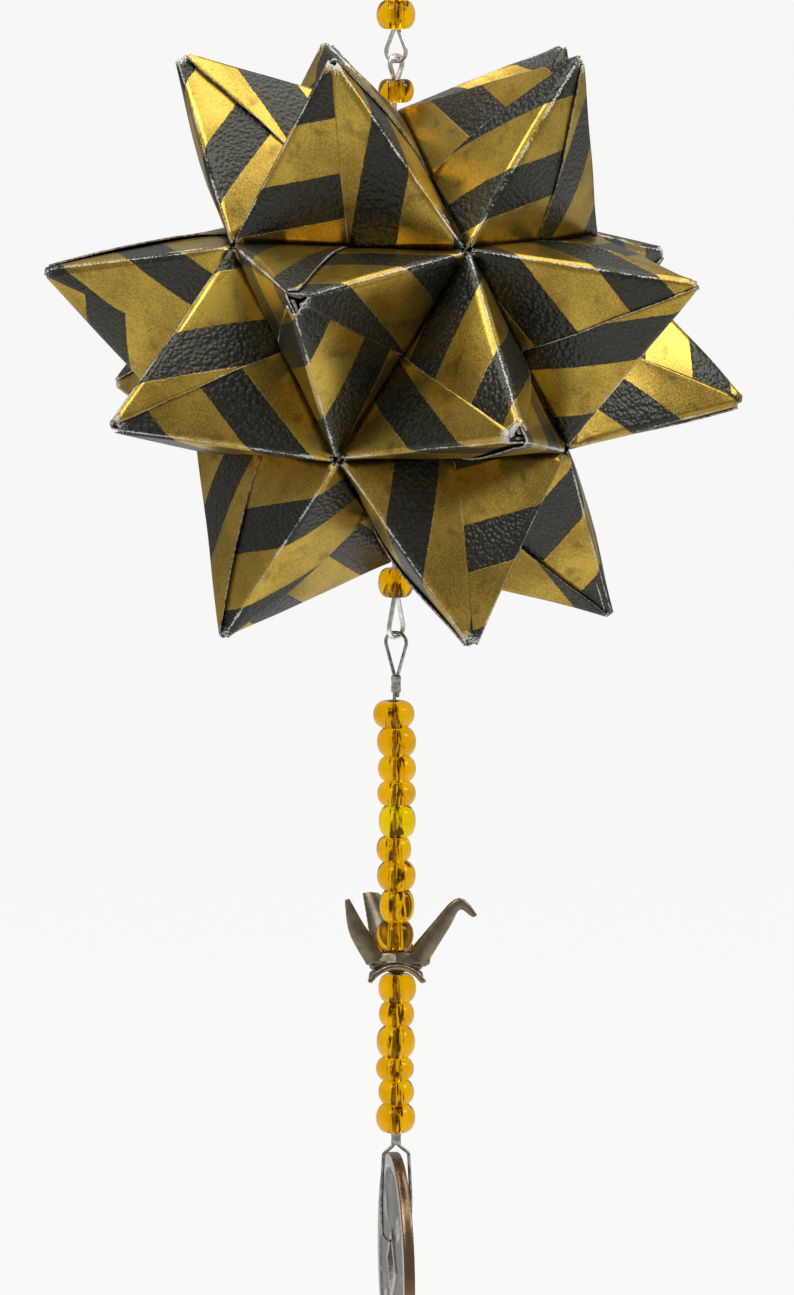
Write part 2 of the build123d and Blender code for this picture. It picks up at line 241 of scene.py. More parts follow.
@dataclass(frozen=True)
class StripedPaper:
    """Embossed paper printed with diagonal bands of gold ink on black; the bands are in millimetres."""

    gold_width: float = 5.7
    black_width: float = 4.7
    band_blur: float = 0.10
    band_waver: float = 0.20
    waver_scale: float = 2600.0
    gold_light: Colour = (0.56, 0.38, 0.065, 1.0)
    gold_dark: Colour = (0.28, 0.18, 0.032, 1.0)
    grain_scale: float = 5200.0
    cloud_scale: float = 150.0
    mottle_range: Span = (0.36, 0.64)
    smudge: Colour = (0.13, 0.085, 0.025, 1.0)
    smudge_share: float = 0.6
    smudge_scale: float = 520.0
    smudge_range: Span = (0.54, 0.74)
    black: Colour = (0.006, 0.006, 0.003, 1.0)
    # Painted highlight: a lighter black for the tops of the pebbles, as glints on the embossing.
    pebble_glint: Colour = (0.022, 0.021, 0.012, 1.0)
    pebble_glint_range: Span = (0.55, 0.15)
    pebble_scale: float = 2400.0
    emboss_depth: float = 0.13 * MM
    emboss_strength: float = 0.8
    fibre: Colour = (0.74, 0.72, 0.66, 1.0)
    fluff_scale: float = 5000.0
    patch_scale: float = 300.0
    edge_wear: float = 0.75
    ridge: Rubbing = Rubbing("ridge", 1.1, (0.39, 0.49))
    seam: Rubbing = Rubbing("seam", 1.8, (0.38, 0.50))
    ends: Rubbing = Rubbing("ends", 0.21, (0.27, 0.43))
    sheen: Colour = (1.0, 0.98, 0.82, 1.0)
    gold_shine: float = 0.90
    roughness: float = 0.25

    @property
    def period(self) -> float:
        """Width of a gold and a black band together."""
        return self.gold_width + self.black_width

    def gold_bands(self, tree: ShaderTree) -> Value:
        """1 on the gold bands and 0 on the black, with wavering edges."""
        waver = self.band_waver * (tree.noise(self.waver_scale) - 0.5)
        band = (tree.attribute("stripe") + waver) % self.period
        end = tree.rise(band, self.gold_width, self.gold_width + self.band_blur)
        return tree.rise(band, 0.0, self.band_blur) * (1 - end)

    def wear(self, tree: ShaderTree) -> Value:
        """How bare of ink the paper is: partly along its folds and seams, wholly at its ends."""
        patch = tree.noise(self.patch_scale, 1.0) - 0.5
        fluff = 0.7 * tree.noise(self.fluff_scale, 4.0) + 0.6 * patch + 0.15
        edges = self.ridge.amount(tree, fluff) | self.seam.amount(tree, fluff)
        return (self.edge_wear * edges) | self.ends.amount(tree, fluff)

    def make(self) -> bpy.types.Material:
        """Make the material; the mesh carries stripe, ridge, seam and ends in millimetres."""
        tree = ShaderTree.material("striped_paper")
        grain = tree.noise(self.grain_scale, 3.0)
        cells = tree.pebbles(self.pebble_scale)
        gold = self.gold_bands(tree)
        wear = self.wear(tree)
        mottle = tree.rise(0.5 * grain + 0.5 * tree.noise(self.cloud_scale), *self.mottle_range)
        blotches = self.smudge_share * tree.rise(tree.noise(self.smudge_scale, 5.0), *self.smudge_range)
        gold_tone = tree.blend(blotches, tree.blend(mottle, self.gold_dark, self.gold_light), self.smudge)
        # Painted highlight: the tops of the pebbles get the lighter black.
        black_tone = tree.blend(tree.rise(cells, *self.pebble_glint_range), self.black, self.pebble_glint)
        ink = tree.blend(gold, black_tone, gold_tone)
        height = 0.14 * grain - (1 - gold) * cells + 0.4 * wear
        return tree.surface(
            Base_Color=tree.blend(wear, ink, self.fibre),
            Metallic=self.gold_shine * gold * (1 - wear),
            Roughness=self.roughness + 0.10 * grain + 0.06 * (1 - gold) + 0.4 * wear,
            Specular_Tint=self.sheen,
            Normal=tree.bump(height, self.emboss_depth, self.emboss_strength),
        )


@dataclass(frozen=True)
class RawPaper:
    """The pale back and the torn fibres of the paper's edges."""

    pale: Colour = (0.66, 0.63, 0.56, 1.0)
    grey: Colour = (0.20, 0.18, 0.15, 1.0)
    pale_range: Span = (0.40, 0.58)
    fluff_scale: float = 2600.0
    fluff_depth: float = 0.08 * MM
    roughness: float = 0.88

    def make(self) -> bpy.types.Material:
        """Make the material."""
        tree = ShaderTree.material("raw_paper_edge")
        fluff = tree.noise(self.fluff_scale, 3.0)
        return tree.surface(
            Base_Color=tree.blend(tree.rise(fluff, *self.pale_range), self.grey, self.pale),
            Roughness=self.roughness + 0.1 * fluff,
            Normal=tree.bump(fluff, self.fluff_depth),
        )


@dataclass(frozen=True)
class BeadGlass:
    """Clear pressed glass of one colour, with dark patches on the wall of the bore that are painted shade
    of the bead's dark core.
    """

    name: str
    deep: Colour
    light: Colour
    cloud_scale: float = 420.0
    cloud_range: Span = (0.35, 0.65)
    clear: Colour = (1.0, 0.90, 0.50, 1.0)
    # Painted shade: the dark colour of the patches on the wall of the bore, standing for the bead's dark
    # core.
    core_shade: Colour = (0.09, 0.052, 0.010, 1.0)
    core_shade_scale: float = 2000.0
    core_shade_stretch: float = 2.5
    core_shade_range: Span = (0.48, 0.60)
    shine: Colour = (0.85, 0.58, 0.14, 1.0)
    refraction: float = 1.5
    roughness: float = 0.01
    ripple_scale: float = 700.0
    ripple_depth: float = 0.05 * MM
    ripple_strength: float = 0.5

    def make(self) -> bpy.types.Material:
        """Make the material; the mesh carries bore, which is 1 on the wall of the bore and 0 elsewhere."""
        tree = ShaderTree.material(self.name)
        cloud = tree.noise(self.cloud_scale)
        tone = tree.blend(tree.rise(cloud, *self.cloud_range), self.deep, self.light)
        bore = tree.attribute("bore")
        # Painted shade: dark metallic patches on the wall of the bore stand for the dark core that the
        # wire and the glass's inner reflections make.
        blotches = tree.noise(self.core_shade_scale, 3.0, self.core_shade_stretch)
        shade_patches = bore * tree.rise(blotches, *self.core_shade_range)
        wall = tree.blend(shade_patches, self.clear, self.core_shade)
        return tree.surface(
            Base_Color=tree.blend(bore, tone, wall),
            Metallic=shade_patches,
            Roughness=self.roughness + 0.02 * cloud + 0.25 * shade_patches,
            Specular_Tint=self.shine,
            Transmission_Weight=1.0,
            IOR=self.refraction,
            Normal=tree.bump(tree.noise(self.ripple_scale, 1.0), self.ripple_depth, self.ripple_strength),
        )


@dataclass(frozen=True)
class DrawnMetal:
    """Bare drawn or pressed metal with a fine grain."""

    name: str
    bright: Colour
    dull: Colour
    gloss: float
    bright_range: Span = (0.38, 0.62)
    grain_scale: float = 1800.0
    grain_depth: float = 0.02 * MM
    grain_strength: float = 0.6

    def make(self) -> bpy.types.Material:
        """Make the material."""
        tree = ShaderTree.material(self.name)
        grain = tree.noise(self.grain_scale, 3.0)
        return tree.surface(
            Base_Color=tree.blend(tree.rise(grain, *self.bright_range), self.dull, self.bright),
            Metallic=1.0,
            Roughness=self.gloss + 0.16 * grain,
            Normal=tree.bump(grain, self.grain_depth, self.grain_strength),
        )


@dataclass(frozen=True)
class AgedCasting:
    """Cast metal darkened in its hollows and rubbed bright on what stands out."""

    name: str
    rubbed: Colour
    aged: Colour
    edge: Colour
    gloss: float
    rubbed_range: Span = (0.25, 0.75)
    edge_range: Span = (0.4, 0.6)
    grain_scale: float = 1500.0
    patch_scale: float = 330.0
    grain_depth: float = 0.05 * MM
    grain_strength: float = 0.55

    def make(self) -> bpy.types.Material:
        """Make the material; the mesh carries rubbed and edge, each from 0 to 1."""
        tree = ShaderTree.material(self.name)
        grain = tree.noise(self.grain_scale, 4.0)
        patch = tree.noise(self.patch_scale, 3.0)
        rubbing = tree.attribute("rubbed") + 0.7 * (patch - 0.5) + 0.4 * (grain - 0.5)
        worn = tree.rise(rubbing, *self.rubbed_range)
        side = tree.rise(tree.attribute("edge") + 0.5 * (patch - 0.5), *self.edge_range)
        skin = tree.blend(worn, self.aged, self.rubbed)
        return tree.surface(
            Base_Color=tree.blend(side, skin, self.edge),
            Metallic=1.0,
            Roughness=self.gloss + 0.22 * grain - 0.12 * worn,
            Normal=tree.bump(grain + 0.6 * patch, self.grain_depth, self.grain_strength),
        )


class Skin(Enum):
    """Which of a paper mesh's two materials a face shows."""

    PRINTED = 0
    RAW = 1


def write_mark(mesh: bpy.types.Mesh, name: str, values: np.ndarray) -> None:
    """Let a mesh carry a number at each of its points, for its material to read."""
    layer = mesh.attributes.new(name, "FLOAT", "POINT")
    layer.data.foreach_set("value", values.astype(np.float32))


@dataclass
class MeshDraft:
    """Points, faces and the numbers that the points carry, gathered before a mesh is made."""

    points: list[np.ndarray] = field(default_factory=list)
    faces: list[tuple[int, ...]] = field(default_factory=list)
    skins: list[int] = field(default_factory=list)
    rounded: list[bool] = field(default_factory=list)
    marks: dict[str, list[np.ndarray]] = field(default_factory=dict)
    count: int = 0

    def add_points(self, points: np.ndarray, marks: dict[str, np.ndarray] | None = None) -> np.ndarray:
        """Add a block of points.

        Args:
            points: Places, in an array whose last axis is the place.
            marks: Numbers for each point, by the name of the mesh attribute.

        Returns:
            The points' numbers, in the block's own form.
        """
        form = points.shape[:-1]
        total = int(np.prod(form))
        self.points.append(points.reshape(-1, 3))
        for name, values in (marks or {}).items():
            self.marks.setdefault(name, []).append(np.broadcast_to(values, form).reshape(-1))
        numbers = np.arange(self.count, self.count + total).reshape(form)
        self.count += total
        return numbers

    def add_face(self, corners: np.ndarray, skin: Skin = Skin.PRINTED, rounded: bool = True) -> None:
        """Add one face over the points with those numbers."""
        self.faces.append(tuple(corners.tolist()))
        self.skins.append(skin.value)
        self.rounded.append(rounded)

    def add_grid(self, numbers: np.ndarray, skin: Skin = Skin.PRINTED, rounded: bool = True) -> None:
        """Add a four-sided face for each cell of a grid of points."""
        near, far = numbers[:-1], numbers[1:]
        cells = np.stack([near[:, :-1], near[:, 1:], far[:, 1:], far[:, :-1]], axis=-1)
        for corners in cells.reshape(-1, 4):
            self.add_face(corners, skin, rounded)

    def add_tube(self, numbers: np.ndarray, ring: bool = False, rounded: bool = True) -> None:
        """Add a grid whose rows close on themselves; in a ring the last row also meets the first."""
        self.add_grid(np.pad(numbers, ((0, int(ring)), (0, 1)), "wrap"), rounded=rounded)

    def make(self, name: str, materials: list[bpy.types.Material]) -> bpy.types.Object:
        """Make the object.

        Args:
            name: The piece's name.
            materials: Its materials, in the order of Skin.

        Returns:
            The new object, linked to the scene.
        """
        mesh = bpy.data.meshes.new(name)
        mesh.from_pydata(np.concatenate(self.points).tolist(), [], self.faces)
        for material in materials:
            mesh.materials.append(material)
        mesh.polygons.foreach_set("material_index", self.skins)
        mesh.polygons.foreach_set("use_smooth", self.rounded)
        for mark, blocks in self.marks.items():
            write_mark(mesh, mark, np.concatenate(blocks))
        shell = bmesh.new()
        shell.from_mesh(mesh)
        bmesh.ops.recalc_face_normals(shell, faces=shell.faces)
        shell.to_mesh(mesh)
        shell.free()
        made = bpy.data.objects.new(name, mesh)
        bpy.context.scene.collection.objects.link(made)
        return made


def stand_in(piece: bpy.types.Object, node: str) -> None:
    """Let a piece ride with a CAD node's body and stand for the node, which is hidden."""
    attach(piece, frame["nodes"][node]["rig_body"])
    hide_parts(node)
    LOG.info("%s stands for %s", piece.name, node)


def dress(mesh: bpy.types.Mesh, material: bpy.types.Material) -> None:
    """Give a mesh one material in place of those it has."""
    mesh.materials.clear()
    mesh.materials.append(material)


def box_middle(node: str) -> np.ndarray:
    """Middle of a CAD node's box."""
    low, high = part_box(node)
    return np.array((low + high) / 2)


def full_turn(sides: int) -> np.ndarray:
    """Angles spread evenly round a circle."""
    return np.linspace(0, 2 * pi, sides, endpoint=False)


def unit(vector: np.ndarray) -> np.ndarray:
    """A vector of length 1 in the same direction."""
    return vector / np.linalg.norm(vector)


@dataclass(frozen=True)
class Limit:
    """A plane that a sheet of paper stays behind."""

    normal: np.ndarray
    reach: float

    @classmethod
    def at(cls, point: np.ndarray, normal: np.ndarray) -> "Limit":
        """The plane through a point, with the paper on the side away from the normal."""
        return cls(normal, float(normal @ point))


@dataclass
class Panel:
    """Columns of points over a part of the paper, each column parallel to the ridge fold."""

    points: list[np.ndarray] = field(default_factory=list)
    normals: list[np.ndarray] = field(default_factory=list)
    along: list[np.ndarray] = field(default_factory=list)
    across: list[float] = field(default_factory=list)
    rows: int = 22
    least_share: float = 0.01

    def add_column(
        self,
        foot: np.ndarray,
        run: np.ndarray,
        normal: np.ndarray,
        limits: list[Limit],
        along: float,
        across: float,
    ) -> None:
        """Add one column, trimmed by the planes that bound the paper.

        Args:
            foot: The column's start, at the valley fold.
            run: From the start to the column's untrimmed end.
            normal: Out of the ball.
            limits: The planes that trim it.
            along: The start's place along the ridge on the flat sheet.
            across: The column's place across the ridge on the flat sheet.
        """
        low, high = 0.0, 1.0
        for limit in limits:
            slope = float(limit.normal @ run)
            room = limit.reach - float(limit.normal @ foot)
            if slope > 0:
                high = min(high, room / slope)
            else:
                low = max(low, room / slope)
        steps = np.linspace(low, max(high, low + self.least_share), self.rows)
        self.points.append(foot + steps[:, None] * run)
        self.normals.append(np.broadcast_to(normal, (self.rows, 3)))
        self.along.append(along + steps * np.linalg.norm(run))
        self.across.append(across)


@dataclass
class PaperBall:
    """Thirty folded sheets of striped paper that hold one another by their tabs."""

    sheets: int = 30
    valley_fold: float = 25.2 * MM
    ridge_fold: float = 24.1 * MM
    turn: float = -142.13
    sheet: float = 0.15 * MM
    base_sheet: float = 0.30 * MM
    tab_depth: float = 0.18 * MM
    base_depth: float = 0.51 * MM
    fold_lap: float = 0.30 * MM
    pinhole: float = 0.65 * MM
    tip_blunt: float = 0.85 * MM
    tip_wear: float = 0.8 * MM
    tip_fray: float = 0.45 * MM
    front_wear: float = 0.8 * MM
    front_facing: float = 0.8
    fold_radius: float = 0.40 * MM
    fold_shares: tuple[float, ...] = (0.2, 0.35, 0.5, 0.65, 0.8)
    ridge_columns: tuple[float, ...] = (0.0, 0.35 * MM, 0.9 * MM, 1.8 * MM)
    spread_start: float = 3.2 * MM
    spread_end: float = 0.975
    door_columns: int = 6
    tab_columns: int = 9
    base_rows: int = 10
    base_columns: int = 8
    base_span: Span = (0.06, 0.965)
    bulge: float = 0.60 * MM
    crumple: float = 0.28 * MM
    crumple_size: float = 9.0 * MM
    seam_lift: Span = (0.06 * MM, 0.42 * MM)
    lift_peak: Span = (0.35, 0.75)
    lift_length: float = 0.55
    lift_width: float = 1.8 * MM
    seam_fray: float = 0.12 * MM
    tip_fibre: float = 0.4 * MM
    pit_fibre: float = 0.5 * MM
    off_seam: float = 100 * MM
    unworn: float = 5 * MM
    stripe_lean: float = 44.0
    stripe_turnover: float = 7.1
    band_starts: dict[int, float] = field(
        default_factory=lambda: {
            1: 5.0, 2: 1.5, 3: 4.5, 4: 6.0, 5: 7.0, 6: 9.5, 7: 7.0, 8: 3.5, 9: 4.0, 10: 7.0,
            11: 1.0, 12: 8.5, 13: 10.0, 15: 3.0, 19: 1.5, 20: 0.0, 23: 0.0, 24: 3.5,
            25: 1.5, 26: 8.0, 27: 1.0, 28: 9.0, 29: 6.5, 30: 3.0,
        }
    )

    def __post_init__(self) -> None:
        """Work out the ball's radii and the corners of one sheet from its two folds."""
        golden = (1 + sqrt(5)) / 2
        self.pit_radius = self.valley_fold * sqrt(golden * sqrt(5)) / 2
        face_radius = self.valley_fold * golden**2 / sqrt(12)
        self.tip_radius = face_radius + sqrt(self.ridge_fold**2 - self.valley_fold**2 / 3)
        boxes = [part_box(f"paper_unit_{number:02d}") for number in range(1, self.sheets + 1)]
        low = np.min([box[0] for box in boxes], axis=0)
        high = np.max([box[1] for box in boxes], axis=0)
        self.center = (low + high) / 2
        self.seat = self.center
        self.axes = np.eye(3)
        tilt = atan2(self.valley_fold / sqrt(12), face_radius)
        self.core = np.array([0, 0, -self.valley_fold * golden / 2])
        self.pit = np.array([self.valley_fold / 2, 0, 0])
        self.far_pit = np.array([0, cos(tilt), -sin(tilt)]) * self.valley_fold * sqrt(3) / 2
        self.out = np.array([0, sin(tilt), cos(tilt)])
        self.tip = self.core + self.out * self.tip_radius
        self.own = self.face_normal(-self.pit, self.pit)
        self.next = self.face_normal(self.pit, self.far_pit)
        self.last = self.face_normal(self.far_pit, -self.pit)

    def face_normal(self, first: np.ndarray, second: np.ndarray) -> np.ndarray:
        """Normal out of the ball of the spike's face over two pits."""
        normal = unit(np.cross(first - self.tip, second - self.tip))
        return normal if normal @ self.out > 0 else -normal

    def pit_limit(self, pit: np.ndarray, other: np.ndarray) -> Limit:
        """The plane that keeps the pinhole in a pit open, on the way to another pit."""
        radial = unit(pit - self.core)
        along = other - pit
        along = unit(along - radial * (along @ radial))
        return Limit.at(pit + along * self.pinhole, -along)

    def crown(self, points: np.ndarray, first: np.ndarray, second: np.ndarray) -> np.ndarray:
        """How far the spike's face over two pits swells at some points, from 0 at its edges to 1."""
        corners = np.stack([first - self.core, second - self.core, self.tip - self.core], axis=1)
        shares = (points - self.core) @ np.linalg.inv(corners).T
        shares = np.clip(shares / shares.sum(axis=-1, keepdims=True), 0, 1)
        return 3**3 * shares.prod(axis=-1)

    def fold_over(self, blunt: float) -> tuple[Panel, slice, slice]:
        """The sheet from the raw edge of the door over the ridge fold into the tab.

        Args:
            blunt: How much of the sheet's point is worn off.

        Returns:
            The panel, the door's columns in it and the tab's.
        """
        turn = float(self.own @ self.next)
        lower = -self.tab_depth / (1 - turn**2)
        shift = lower * (self.next - turn * self.own)
        foot = self.pit + shift
        run = self.tip - self.pit
        ridge_limits = [Limit(self.out, float(self.out @ self.tip) - blunt)]
        door_limits = ridge_limits + [self.pit_limit(self.pit, -self.pit)]
        tab_limits = ridge_limits + [
            self.pit_limit(self.pit, self.far_pit),
            self.pit_limit(self.far_pit, self.pit),
            Limit(self.last, float(self.last @ self.tip) - self.base_depth),
        ]
        center = -self.fold_radius / (1 + turn) * (self.own + self.next)
        flat = float(np.linalg.norm(center + self.fold_radius * self.own))
        panel = Panel()
        self.add_flat_columns(panel, foot, np.zeros(3), self.own, door_limits, flat, True)
        door = slice(len(panel.points))
        for share in self.fold_shares:
            normal = unit((1 - share) * self.own + share * self.next)
            start = foot + center + self.fold_radius * normal
            panel.add_column(start, run, normal, door_limits, 0.0, flat * (1 - 2 * share))
        tab = slice(len(panel.points), None)
        apex = self.far_pit - self.next * self.tab_depth
        self.add_flat_columns(panel, foot, apex, self.next, tab_limits, flat, False)
        return panel, door, tab

    def add_flat_columns(
        self,
        panel: Panel,
        foot: np.ndarray,
        apex: np.ndarray,
        normal: np.ndarray,
        limits: list[Limit],
        flat: float,
        inward: bool,
    ) -> None:
        """Add the columns of a flat triangle between the ridge fold and an apex.

        Args:
            panel: The panel that gets the columns.
            foot: The ridge fold's lower end.
            apex: The triangle's corner off the ridge.
            normal: Out of the ball.
            limits: The planes that trim the columns.
            flat: How far from the ridge the flat paper starts.
            inward: True to go from the apex to the ridge, on the door's side.
        """
        run = self.tip - self.pit
        along = unit(run)
        reach = apex - foot
        rise = float(reach @ along)
        width = float(np.linalg.norm(reach - rise * along))
        columns = self.door_columns if inward else self.tab_columns
        close = [flat + gap for gap in self.ridge_columns]
        spread = np.linspace(flat + self.spread_start, self.spread_end * width, columns)
        distances = close + list(spread)
        for distance in reversed(distances) if inward else distances:
            share = distance / width
            start = foot + share * reach
            across = distance if inward else -distance
            panel.add_column(start, (1 - share) * run, normal, limits, share * rise, across)

    def base_panel(self, blunt: float) -> Panel:
        """The inner layer of the sheet, under the whole of its own face."""
        limits = [
            Limit(self.out, float(self.out @ self.tip) - blunt - self.base_depth),
            Limit(self.next, float(self.next @ self.tip) - self.tab_depth - self.sheet),
            self.pit_limit(self.pit, -self.pit),
            self.pit_limit(-self.pit, self.pit),
        ]
        rise = unit(self.tip)
        to_fold = -self.base_depth * self.own[1] / rise[1] + self.fold_lap
        foot = -self.pit - self.own * self.base_depth - rise * to_fold
        run = self.tip - self.own * self.base_depth - foot
        panel = Panel(rows=self.base_rows)
        for share in np.linspace(*self.base_span, self.base_columns):
            start = foot + share * 2 * self.pit
            panel.add_column(start, (1 - share) * run, self.own, limits, 0.0, share * self.valley_fold)
        return panel

    def seats(self) -> list[tuple[np.ndarray, np.ndarray]]:
        """The two pits of each sheet's valley fold, in the order of the CAD nodes."""
        around = 5
        ring_height = self.pit_radius / sqrt(5)
        poles = [np.array([0, 0, side * self.pit_radius]) for side in (1, -1)]
        rings: list[list[np.ndarray]] = [[], []]
        for step in range(around):
            for ring, side in enumerate((1, -1)):
                azimuth = radians(self.turn + 360 / around * (step + ring / 2))
                place = (2 * cos(azimuth), 2 * sin(azimuth), side)
                rings[ring].append(ring_height * np.array(place))
        upper, lower = rings
        folds = []
        for step in range(around):
            after = (step + 1) % around
            folds += [
                (poles[0], upper[step]),
                (upper[step], upper[after]),
                (upper[step], lower[step]),
                (lower[step], upper[after]),
                (lower[step], lower[after]),
                (lower[step], poles[1]),
            ]
        return folds

    def shell(
        self,
        draft: MeshDraft,
        panel: Panel,
        outer: np.ndarray,
        thick: float,
        marks: dict[str, np.ndarray],
    ) -> None:
        """Add a panel as a closed sheet with a printed face, a pale back and raw edges.

        Args:
            draft: The sheet's mesh.
            panel: The panel.
            outer: Its points, swollen.
            thick: The paper's thickness.
            marks: Distances for the material, in metres.
        """
        marks = {name: gaps / MM for name, gaps in marks.items()}
        normals = np.stack(panel.normals)
        placed = self.place(np.stack([outer, outer - thick * normals]))
        front = draft.add_points(placed[0], marks)
        back = draft.add_points(placed[1], marks)
        draft.add_grid(front)
        draft.add_grid(back, Skin.RAW)
        for edge in (np.s_[0, :], np.s_[-1, :], np.s_[:, 0], np.s_[:, -1]):
            draft.add_grid(np.stack([front[edge], back[edge]]), Skin.RAW, False)

    def place(self, points: np.ndarray) -> np.ndarray:
        """Points of the sheet in hand, moved to the sheet's seat on the ball."""
        return points @ self.axes.T + self.seat

    def blunting(self) -> float:
        """How much is worn off the tip over the face in hand, the same for the spike's three faces."""
        place = self.place(self.tip)
        chance = (1 + noise.cell(Vector(place) / self.crumple_size)) / 2
        facing = -unit(place - self.center)[1]
        return self.tip_blunt + self.tip_wear * chance + self.front_wear * (facing > self.front_facing)

    def rumple(self, points: np.ndarray) -> np.ndarray:
        """Slow waves of the paper, the same for every layer at a place on the ball."""
        placed = self.place(points).reshape(-1, 3) / self.crumple_size
        waves = [noise.noise(Vector(place)) for place in placed]
        return self.crumple * np.array(waves).reshape(points.shape[:-1])

    def kite(self, draft: MeshDraft, start: float, dice: Random) -> None:
        """Add one half of the sheet: the door, the ridge fold and the tab.

        Args:
            draft: The sheet's mesh.
            start: Where a gold band starts on the flat paper, in millimetres.
            dice: The sheet's own random numbers.
        """
        blunt = self.blunting() + dice.random() * self.tip_fray
        panel, door, tab = self.fold_over(blunt)
        points, normals = np.stack(panel.points), np.stack(panel.normals)
        along = np.stack(panel.along)
        across = np.broadcast_to(np.array(panel.across)[:, None], along.shape)
        swell = self.rumple(points)
        swell[door] += self.bulge * self.crown(points[door], -self.pit, self.pit)
        swell[tab] += self.bulge * self.crown(points[tab], self.pit, self.far_pit)
        seam_line = unit(self.tip)
        from_seam = np.linalg.norm(np.cross(points, seam_line), axis=-1)
        up_seam = np.clip(points @ seam_line / np.linalg.norm(self.tip), 0, 1)
        lift = dice.uniform(*self.seam_lift)
        peak = dice.uniform(*self.lift_peak)
        wave = np.clip(1 - ((up_seam - peak) / self.lift_length) ** 2, 0, 1)
        wave *= np.exp(-from_seam / self.lift_width)
        swell[door] += (lift * wave)[door]
        fray = Random(dice.random())
        worn = [[fray.uniform(0, self.seam_fray) for _ in range(panel.rows)] for _ in panel.points]
        points = points + swell[..., None] * normals
        points[door, -1] -= np.array(worn)[door, -1, None] * np.cross(normals[0, 0], seam_line)
        seam_gap = np.full_like(from_seam, self.off_seam)
        seam_gap[door] = from_seam[door]
        tip_gap = np.linalg.norm(points - self.tip, axis=-1) - blunt + self.tip_fibre
        pit_gap = np.linalg.norm(points - self.pit, axis=-1) + self.pit_fibre
        lean = radians(self.stripe_lean)
        marks = {
            "stripe": cos(lean) * along + sin(lean) * across - start * MM,
            "ridge": np.abs(across),
            "seam": seam_gap,
            "ends": np.minimum(tip_gap, pit_gap),
        }
        self.shell(draft, panel, points, self.sheet, marks)

    def inner_layer(self, draft: MeshDraft, start: float) -> None:
        """Add the inner layer of one half of the sheet."""
        panel = self.base_panel(self.blunting())
        points, normals = np.stack(panel.points), np.stack(panel.normals)
        swell = self.rumple(points) + self.bulge * self.crown(points, -self.pit, self.pit)
        marks = {name: np.array(self.unworn) for name in ("ridge", "seam", "ends")}
        marks["stripe"] = np.stack(panel.along) + np.array(panel.across)[:, None] - start * MM
        self.shell(draft, panel, points + swell[..., None] * normals, self.base_sheet, marks)

    def build(self, printed: bpy.types.Material, raw: bpy.types.Material) -> None:
        """Make the thirty sheets.

        Args:
            printed: The paper's striped face.
            raw: Its back and its edges.
        """
        period = StripedPaper().period
        for number, (start_pit, end_pit) in enumerate(self.seats(), 1):
            dice = Random(number)
            middle = (start_pit + end_pit) / 2
            x_axis, z_axis = unit(end_pit - start_pit), unit(middle)
            turned = np.stack([x_axis, np.cross(z_axis, x_axis), z_axis], axis=1)
            begin = self.band_starts.get(number, dice.uniform(0, period))
            draft = MeshDraft()
            self.seat = middle + self.center
            for half, start in ((1, begin), (-1, self.stripe_turnover - begin)):
                self.axes = turned @ np.diag([half, half, 1])
                self.kite(draft, start, dice)
                self.inner_layer(draft, start)
            sheet = draft.make(f"folded_sheet_{number:02d}", [printed, raw])
            stand_in(sheet, f"paper_unit_{number:02d}")


@dataclass
class GlassBead:
    """A pressed glass bead with flat ends, a round side and a bore."""

    node: str
    slot: str
    bore: float = 0.58 * MM
    flat: float = 1.05 * MM
    lip: float = 0.10 * MM
    lip_steps: int = 3
    side_steps: int = 16
    sides: int = 44
    unevenness: float = 0.012
    third_lobe: float = 0.6
    play: float = 0.0
    play_span: Span = (-1.0, 0.5)

    def profile(self) -> list[tuple[float, float]]:
        """Radius and height of the closed section, from the box of the CAD bead."""
        low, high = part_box(self.node)
        reach = (high.x - low.x) / 2 - self.flat
        middle, half = (high.z + low.z) / 2, (high.z - low.z) / 2
        corner = [pi / 2 * step / self.lip_steps for step in range(self.lip_steps + 1)]
        inset = [(self.lip * (1 - cos(turn)), self.lip * (1 - sin(turn))) for turn in corner]
        lip = [(self.bore + outward, half - down) for outward, down in inset]
        turns = [pi * (0.5 - step / self.side_steps) for step in range(self.side_steps + 1)]
        side = [(self.flat + reach * cos(turn), half * sin(turn)) for turn in turns]
        under = [(radius, -height) for radius, height in reversed(lip)]
        wall = [(self.bore, -half / 3), (self.bore, half / 3)]
        return [(radius, middle + height) for radius, height in lip + side + under + wall]

    def build(self, glass: bpy.types.Material) -> None:
        """Turn the section about the wire and dress it in glass."""
        middle = box_middle(self.node)
        dice = Random(self.node)
        phase, second = dice.uniform(0, 2 * pi), dice.uniform(0, 2 * pi)
        middle[0] += dice.uniform(*self.play_span) * self.play
        section = np.array(self.profile())
        turns = full_turn(self.sides)
        lump = self.unevenness * (np.sin(2 * turns + phase) + self.third_lobe * np.sin(3 * turns + second))
        share = (section[:, 0] - self.bore) / (section[:, 0].max() - self.bore)
        radius = section[:, 0] * (1 + np.outer(lump - self.unevenness, share))
        points = np.stack(
            [
                middle[0] + radius * np.cos(turns)[:, None],
                middle[1] + radius * np.sin(turns)[:, None],
                np.broadcast_to(section[:, 1], radius.shape),
            ],
            axis=-1,
        )
        draft = MeshDraft()
        wall = section[:, 0] < self.bore + self.lip / 10
        draft.add_tube(draft.add_points(points, {"bore": wall.astype(float)}), ring=True)
        stand_in(draft.make(f"{self.node}_glass", [glass]), self.node)


